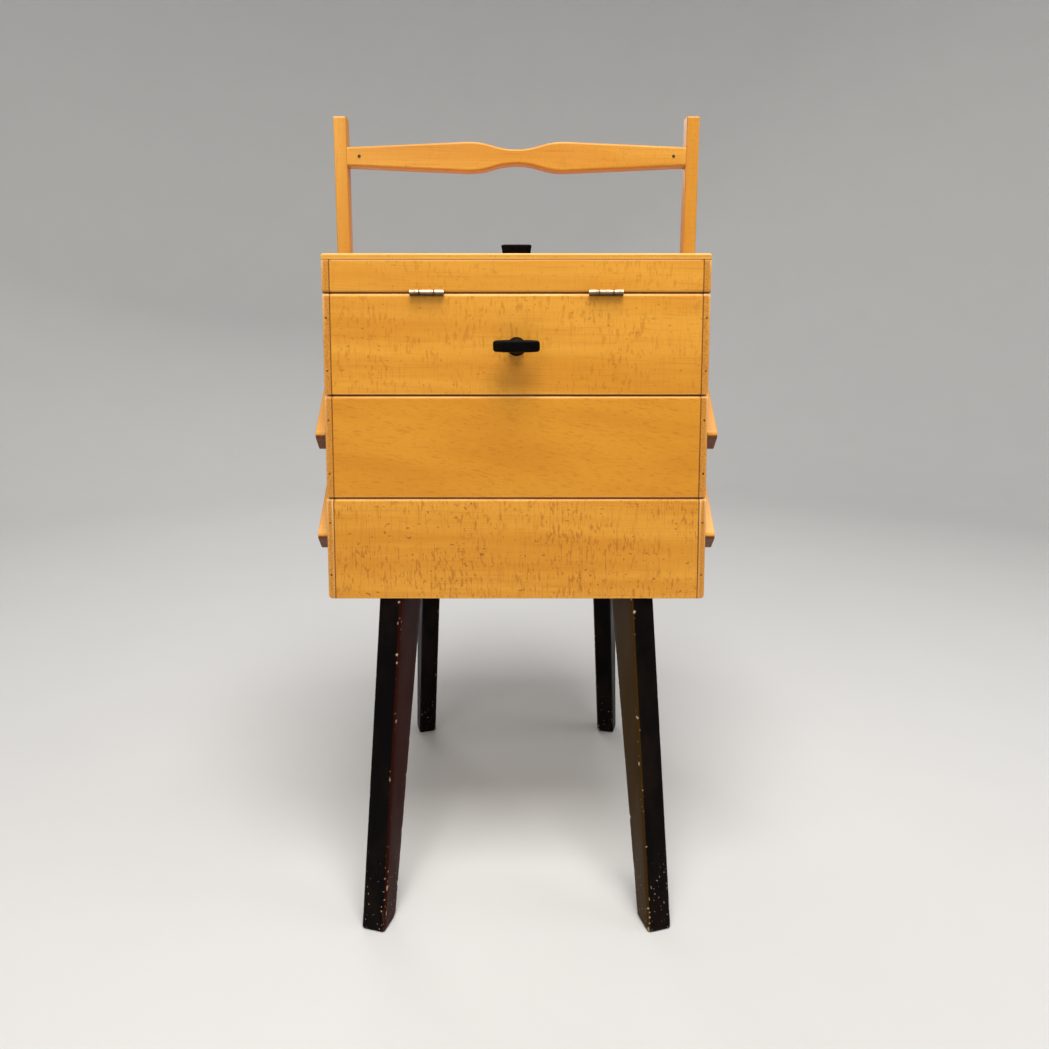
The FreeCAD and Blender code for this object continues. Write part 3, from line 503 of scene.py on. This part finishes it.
def new_piece(name, points, faces, body, slot, material, **point_values):
    """A closed mesh that rides on a CAD body, with named numbers per point for its material."""
    mesh = bpy.data.meshes.new(name)
    mesh.from_pydata([tuple(point) for point in points], [], faces)
    mesh.validate()
    piece = bpy.data.objects.new(name, mesh)
    bpy.context.scene.collection.objects.link(piece)
    shaper = bmesh.new()
    shaper.from_mesh(mesh)
    bmesh.ops.recalc_face_normals(shaper, faces=shaper.faces)
    shaper.to_mesh(mesh)
    shaper.free()
    mesh.polygons.foreach_set("use_smooth", [True] * len(mesh.polygons))
    for value_name, values in point_values.items():
        layer = mesh.attributes.new(value_name, "FLOAT", "POINT")
        layer.data.foreach_set("value", np.array(values, np.float32))
    mesh.materials.append(material)
    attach(piece, body)
    return piece


def rings_to_tube(rings):
    """Points and faces of a closed tube through rings of equal length, capped at both ends."""
    count = len(rings[0])
    points = [point for ring in rings for point in ring]
    faces = []
    for level in range(len(rings) - 1):
        for step in range(count):
            after = (step + 1) % count
            base = level * count
            faces.append((base + step, base + after, base + count + after, base + count + step))
    for ring, start in ((rings[0], 0), (rings[-1], (len(rings) - 1) * count)):
        centre = len(points)
        points.append(sum((Vector(point) for point in ring), Vector()) / count)
        for step in range(count):
            faces.append((centre, start + (step + 1) % count, start + step))
    return points, faces


def joined_meshes(first_points, first_faces, more_points, more_faces):
    """Points and faces of two meshes as one."""
    start = len(first_points)
    return first_points + more_points, first_faces + [tuple(index + start for index in face)
                                                      for face in more_faces]


def rounded_oblong(half_x, half_y, radius, arc_steps, flat_steps):
    """A rounded oblong as (x, y, closeness to an edge), counter-clockwise."""
    corners = ((1, 1), (-1, 1), (-1, -1), (1, -1))
    flat_ends = ((-half_x + radius, half_y), (-half_x, -half_y + radius),
                 (half_x - radius, -half_y), (half_x, half_y - radius))
    ring = []
    for quarter, ((sign_x, sign_y), flat_end) in enumerate(zip(corners, flat_ends)):
        centre = (sign_x * (half_x - radius), sign_y * (half_y - radius))
        for step in range(arc_steps + 1):
            angle = math.pi / 2 * (quarter + step / arc_steps)
            ring.append((centre[0] + radius * math.cos(angle), centre[1] + radius * math.sin(angle), 1.0))
        last = ring[-1]
        for step in range(1, flat_steps):
            share = step / flat_steps
            near = abs(share - 0.5) * 2
            ring.append((last[0] + (flat_end[0] - last[0]) * share,
                         last[1] + (flat_end[1] - last[1]) * share, near ** 3 * FLAT_WEAR))
    return ring


def ragged(place, cells, shift):
    """Rough noise above zero, of so many cells per metre."""
    return max(0.0, noise.fractal(place * cells + shift, 0.9, 2.1, 3))


# ---------------------------------------------------------------- legs

LEG = dict(width=22 * MM, top_deep=50 * MM, foot_deep=24.5 * MM, top_out=107.9 * MM, top_front=117.4 * MM,
           foot_out=122.7 * MM, foot_front=183.8 * MM, turn=math.radians(16), radius=2.3 * MM)
LEG_LEVELS = 160
ARC_STEPS = 4
FLAT_STEPS = 6
FOOT_ROUND = 2.5 * MM
FOOT_LEVELS = 6
FOOT_WORN = 34 * MM
OUTER_EDGE_WEAR = 0.55
RUB_SIZE = 95
CHIP_SIZE = 330
CHIP_START = 0.22

# how deep an edge is worn everywhere, where it is rubbed and where it is chipped
WORN_DEPTH = 0.12 * MM
RUBBED_DEPTH = 0.25 * MM
CHIPPED_DEPTH = 1.0 * MM


def between(foot, top, share):
    return foot + (top - foot) * share


def leg_levels(height):
    """Heights of a leg's rings, close together at the rounded foot."""
    lower = [FOOT_ROUND * (1 - math.cos(math.pi / 2 * step / FOOT_LEVELS)) for step in range(FOOT_LEVELS)]
    return lower + [FOOT_ROUND + (height - FOOT_ROUND) * step / LEG_LEVELS for step in range(LEG_LEVELS + 1)]


def leg(node, side, facing, seed):
    """One leg, deep at the top and slim at the foot, with rubbed edges and chips towards the foot.

    side is +1 on the right and facing is -1 at the front.
    """
    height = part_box(node)[1][2]
    turn = Matrix.Rotation(-side * facing * LEG["turn"], 3, "Z")
    rings = []
    wear = []
    inside = []
    for level in leg_levels(height):
        share = level / height
        shrink = 0
        if level < FOOT_ROUND:
            shrink = FOOT_ROUND - math.sqrt(FOOT_ROUND ** 2 - (FOOT_ROUND - level) ** 2)
        half_deep = between(LEG["foot_deep"], LEG["top_deep"], share) / 2 - shrink
        out = between(LEG["foot_out"], LEG["top_out"], share)
        front = between(LEG["foot_front"], LEG["top_front"], share)
        near_foot = max(0.0, 1 - level / FOOT_WORN)
        ring = []
        for x, y, edge in rounded_oblong(LEG["width"] / 2 - shrink, half_deep, LEG["radius"],
                                         ARC_STEPS, FLAT_STEPS):
            spot = turn @ Vector((x, y, 0))
            place = Vector((side * out, facing * front, level)) + spot
            weight = edge if x * side < 0 else edge * OUTER_EDGE_WEAR
            rub = ragged(place, RUB_SIZE, Vector((seed, 0, 0)))
            chip = max(0.0, noise.noise(place * CHIP_SIZE + Vector((0, seed, 0))) - CHIP_START)
            if level < height - MM:
                depth = WORN_DEPTH + RUBBED_DEPTH * rub + CHIPPED_DEPTH * chip
                place -= spot.normalized() * weight * depth
            wear.append(weight * 0.48 + near_foot ** 1.5 * 0.30 + weight * 1.2 * chip + 0.10 * rub)
            inside.append(1.0 if x * side < -LEG["width"] / 2 + LEG["radius"] else 0.0)
            ring.append(place)
        rings.append(ring)
    points, faces = rings_to_tube(rings)
    # the right legs get an olive-brown painted reflection, the left legs a red-brown one
    paint = paint_material(node + "_paint", seed, reflected_brown=OLIVE_BROWN_REFLECTION if side > 0 else RED_BROWN_REFLECTION)
    piece = new_piece(node.replace("leg", "shaped_leg"), points, faces, "base", "leg_paint", paint,
                      wear=wear + [0.6, 0.0], inside=inside + [0.0, 0.0])
    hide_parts(node)


def legs():
    for seed, (along, facing) in enumerate((("front", -1), ("back", 1)), start=1):
        for shift, (name, side) in enumerate((("left", -1), ("right", 1))):
            leg("leg_%s_%s" % (along, name), side, facing, seed * 2.0 + shift * 5.5)


# ---------------------------------------------------------------- knobs

BAR_TALL = 10.8 * MM
BAR_THICK = 11 * MM
BAR_TAPER = 0.15
BAR_STEPS = 44
STEM_RADIUS = 4.3 * MM
STEM_FLARE = 4.1 * MM
STEM_STEPS = 14
KNOB_SIDES = 40
GRIP_WAIST = 1.6 * MM
GRIP_CROWN = 1.6 * MM
GRIP_STEPS = 30
GRIP_SIDES = 56
KNOB_RUB_SIZE = 160


def superellipse(half_x, half_y, power, steps):
    """A rounded rectangle drawn by one formula."""
    ring = []
    for step in range(steps):
        angle = 2 * math.pi * step / steps
        cosine, sine = math.cos(angle), math.sin(angle)
        ring.append((math.copysign(abs(cosine) ** (2 / power), cosine) * half_x,
                     math.copysign(abs(sine) ** (2 / power), sine) * half_y))
    return ring


def knob_wear(place, seed, edge):
    return edge * 0.45 + 0.25 * ragged(place, KNOB_RUB_SIZE, Vector((seed, seed, 0)))


def knob_bar(length, bar_y, centre_z, seed):
    """The bar of a pull knob, square in section with soft edges and slightly slimmer ends."""
    rings = []
    wear = []
    for step in range(BAR_STEPS + 1):
        share = -math.cos(math.pi * step / BAR_STEPS)
        close = (1 - abs(share) ** 40) ** 0.5 if abs(share) < 1 else 0
        size = max(0.72, close) * (1 - BAR_TAPER * abs(share) ** 3)
        ring = []
        for depth, up in superellipse(BAR_THICK / 2 * size, BAR_TALL / 2 * size, 4.2, KNOB_SIDES):
            place = Vector((share * length / 2, bar_y + depth, centre_z + up))
            edge = abs(share) ** 6 + 0.5 * max(0.0, up / (BAR_TALL / 2)) ** 2
            wear.append(knob_wear(place, seed, edge))
            ring.append(place)
        rings.append(ring)
    return (*rings_to_tube(rings), wear + [0.4, 0.4])


def knob_stem(face, reach, facing, centre_z, seed):
    """The turned stem, flared where it meets the board."""
    rings = []
    wear = []
    for step in range(STEM_STEPS + 1):
        share = step / STEM_STEPS
        radius = STEM_RADIUS + STEM_FLARE * (1 - share) ** 2.2
        ring = []
        for side in range(KNOB_SIDES):
            angle = 2 * math.pi * side / KNOB_SIDES
            place = Vector((radius * math.cos(angle), face + facing * reach * share,
                            centre_z + radius * math.sin(angle)))
            wear.append(knob_wear(place, seed, 0.25 * (1 - share) ** 4))
            ring.append(place)
        rings.append(ring)
    return (*rings_to_tube(rings), wear + [0.0, 0.0])


def pull_knob(half, facing, seed):
    """The bar knob on its flared stem, as one piece."""
    node = half + "_pull_knob"
    low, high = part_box(node)
    centre_z = (low[2] + high[2]) / 2
    face, tip = (low[1], high[1]) if facing > 0 else (high[1], low[1])
    bar_y = tip - facing * BAR_THICK / 2
    bar_points, bar_faces, bar_wear = knob_bar(high[0] - low[0], bar_y, centre_z, seed)
    stem_points, stem_faces, stem_wear = knob_stem(face, abs(bar_y - face), facing, centre_z, seed)
    points, faces = joined_meshes(bar_points, bar_faces, stem_points, stem_faces)
    piece = new_piece(half + "_turned_pull_knob", points, faces, half + "_top_tray", "knob_paint",
                      paint_material(node + "_paint", seed, 0.8), wear=bar_wear + stem_wear)
    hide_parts(node)


def lid_knob(half, seed):
    """The upright grip on a lid: hollow ends, a crowned top and rubbed upper edges."""
    node = half + "_lid_knob"
    low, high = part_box(node)
    centre = (low + high) / 2
    size = high - low
    rings = []
    wear = []
    for step in range(GRIP_STEPS + 1):
        share = step / GRIP_STEPS
        up = low[2] + size[2] * share
        hollow = GRIP_WAIST * (1 - (2 * share - 1) ** 2)
        top = max(0.0, (up - (high[2] - GRIP_CROWN)) / GRIP_CROWN)
        shrink = GRIP_CROWN * (1 - math.sqrt(max(0.0, 1 - top ** 2)))
        half_x = size[0] / 2 - hollow - shrink
        half_y = size[1] / 2 - hollow * 0.6 - shrink
        ring = []
        for x, y in superellipse(half_x, half_y, 7, GRIP_SIDES):
            place = Vector((centre[0] + x, centre[1] + y, up))
            edge = top + 0.6 * (abs(x) / half_x) ** 8 * share
            wear.append(knob_wear(place, seed, edge))
            ring.append(place)
        rings.append(ring)
    points, faces = rings_to_tube(rings)
    piece = new_piece(half + "_shaped_lid_knob", points, faces, half + "_lid", "knob_paint",
                      paint_material(node + "_paint", seed), wear=wear + [0.0, 0.9])
    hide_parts(node)


# ---------------------------------------------------------------- nails

NAIL_RADIUS = 0.95 * MM
NAIL_SIDES = 16
NAIL_SHARES = (0.24, 0.76)
SIDE_BOARD = 6 * MM

# shares of a nail's radius, and how far proud of the board that ring stands
NAIL_DOME = ((1.0, -0.3 * MM), (1.0, 0.02 * MM), (0.75, 0.12 * MM), (0.35, 0.17 * MM))


def nail_heads(name, body, node, facings):
    """Small domed nail heads in the end grain of the side boards, where they hold the front board."""
    low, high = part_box(node)
    middle_of_board = max(abs(low[0]), abs(high[0])) - SIDE_BOARD / 2
    points = []
    faces = []
    for facing in facings:
        face = low[1] if facing < 0 else high[1]
        for side in (-1, 1):
            for share in NAIL_SHARES:
                z = low[2] + (high[2] - low[2]) * share
                rings = []
                for size, proud in NAIL_DOME:
                    radius = NAIL_RADIUS * size
                    angles = [2 * math.pi * step / NAIL_SIDES for step in range(NAIL_SIDES)]
                    rings.append([Vector((side * middle_of_board + radius * math.cos(angle),
                                          face + facing * proud, z + radius * math.sin(angle)))
                                  for angle in angles])
                points, faces = joined_meshes(points, faces, *rings_to_tube(rings))
    new_piece(name, points, faces, body, "screw_metal", NAIL)


def all_nails():
    nail_heads("base_nails", "base", "base_right_side", (-1, 1))
    for half, facing in (("front", -1), ("back", 1)):
        for tier in ("mid", "top"):
            nail_heads("%s_%s_nails" % (half, tier), "%s_%s_tray" % (half, tier),
                       "%s_%s_sides" % (half, tier), (facing,))


# ---------------------------------------------------------------- stage, light and camera

FLOOR_COLOUR = (0.64, 0.635, 0.625)
FLOOR_MIDDLE = 0.4
BOWL_RADIUS = 3.2
BOWL_CURVE = 1.1
BOWL_HEIGHT = 3.4
CURVE_STEPS = 12
BOWL_SIDES = 96
MOTTLE_CELLS = (6, 6, 6)


def studio_floor():
    """A pale floor that curves up all round, so that every view has the same plain ground."""
    flat = BOWL_RADIUS - BOWL_CURVE
    profile = [(FLOOR_MIDDLE, 0.0), (flat, 0.0)]
    for step in range(1, CURVE_STEPS + 1):
        angle = math.pi / 2 * step / CURVE_STEPS
        profile.append((flat + BOWL_CURVE * math.sin(angle), BOWL_CURVE * (1 - math.cos(angle))))
    profile.append((BOWL_RADIUS, BOWL_HEIGHT))
    points = []
    faces = [tuple(reversed(range(BOWL_SIDES)))]
    for radius, height in profile:
        for step in range(BOWL_SIDES):
            angle = 2 * math.pi * step / BOWL_SIDES
            points.append((radius * math.cos(angle), radius * math.sin(angle), height))
    for level in range(len(profile) - 1):
        inner = level * BOWL_SIDES
        outer = inner + BOWL_SIDES
        for step in range(BOWL_SIDES):
            after = (step + 1) % BOWL_SIDES
            faces.append((inner + step, inner + after, outer + after, outer + step))
    mesh = bpy.data.meshes.new("studio_floor")
    mesh.from_pydata(points, [], faces)
    mesh.polygons.foreach_set("use_smooth", [True] * len(mesh.polygons))
    floor = bpy.data.objects.new("studio_floor", mesh)
    bpy.context.scene.collection.objects.link(floor)
    shader = Shader("pale_floor")
    mottle = shader.noise(shader.stretch(shader.position, MOTTLE_CELLS), 3)
    colour = shader.mix(mottle, FLOOR_COLOUR, tuple(0.96 * value for value in FLOOR_COLOUR))
    mesh.materials.append(shader.finish(Base_Color=colour, Roughness=0.85, Specular_IOR_Level=0.1))


# place, width and height in metres, power in watts, and colour; all lamps point at the box
LAMPS = {
    "overhead": dict(place=(0.1, -0.9, 2.3), size=(1.2, 1.0), power=56, colour=(1.0, 0.985, 0.96)),
    "front_fill": dict(place=(-0.9, -2.2, 1.7), size=(1.6, 1.2), power=12, colour=(1.0, 0.99, 0.97)),
    "side_fill": dict(place=(2.2, -0.4, 1.7), size=(1.2, 1.2), power=9, colour=(0.98, 0.99, 1.0)),
    "back_fill": dict(place=(-0.8, 2.2, 1.9), size=(1.6, 1.4), power=17, colour=(1.0, 0.99, 0.97)),
}
LIT_SPOT = Vector((0, 0, 0.42))
SKY_COLOUR = (0.93, 0.95, 1.0)
SKY_STRENGTH = 0.22


def area_light(name, place, size, power, colour):
    lamp = bpy.data.lights.new(name, "AREA")
    lamp.shape = "RECTANGLE"
    lamp.size, lamp.size_y = size
    lamp.energy = power
    lamp.color = colour
    item = bpy.data.objects.new(name, lamp)
    bpy.context.scene.collection.objects.link(item)
    item.location = place
    item.rotation_mode = "QUATERNION"
    item.rotation_quaternion = (LIT_SPOT - Vector(place)).to_track_quat("-Z", "Y")


def studio_lights():
    """Soft lamps from above and all round, and a dim even sky."""
    for name, lamp in LAMPS.items():
        area_light(name, **lamp)
    world = bpy.data.worlds.new("studio")
    bpy.context.scene.world = world
    world.use_nodes = True
    background = world.node_tree.nodes["Background"]
    background.inputs["Color"].default_value = (*SKY_COLOUR, 1)
    background.inputs["Strength"].default_value = SKY_STRENGTH


CAMERA_PLACE = (0.0, -0.8324, 0.500)
CAMERA_DOWN = math.radians(5.742)
CAMERA_LENS = 26.72
CAMERA_SHIFT = (0.0077, -0.083)


def camera():
    """The viewpoint straight in front, above the middle of the box and looking slightly down."""
    lens = bpy.data.cameras.new("view")
    lens.lens = CAMERA_LENS
    lens.sensor_width = 36
    lens.shift_x, lens.shift_y = CAMERA_SHIFT
    lens.clip_start, lens.clip_end = 0.02, 60
    item = bpy.data.objects.new("view", lens)
    bpy.context.scene.collection.objects.link(item)
    item.location = CAMERA_PLACE
    item.rotation_euler = (math.pi / 2 - CAMERA_DOWN, 0, 0)
    bpy.context.scene.camera = item


# ---------------------------------------------------------------- build

dress_wooden_nodes()
dress_metal_and_painted_nodes()
legs()
for half_name, way in (("front", -1), ("back", 1)):
    pull_knob(half_name, way, 11.0 + way)
    lid_knob(half_name, 17.0 + way)
all_nails()
studio_floor()
studio_lights()
camera()
bpy.context.scene.view_settings.view_transform = "Standard"
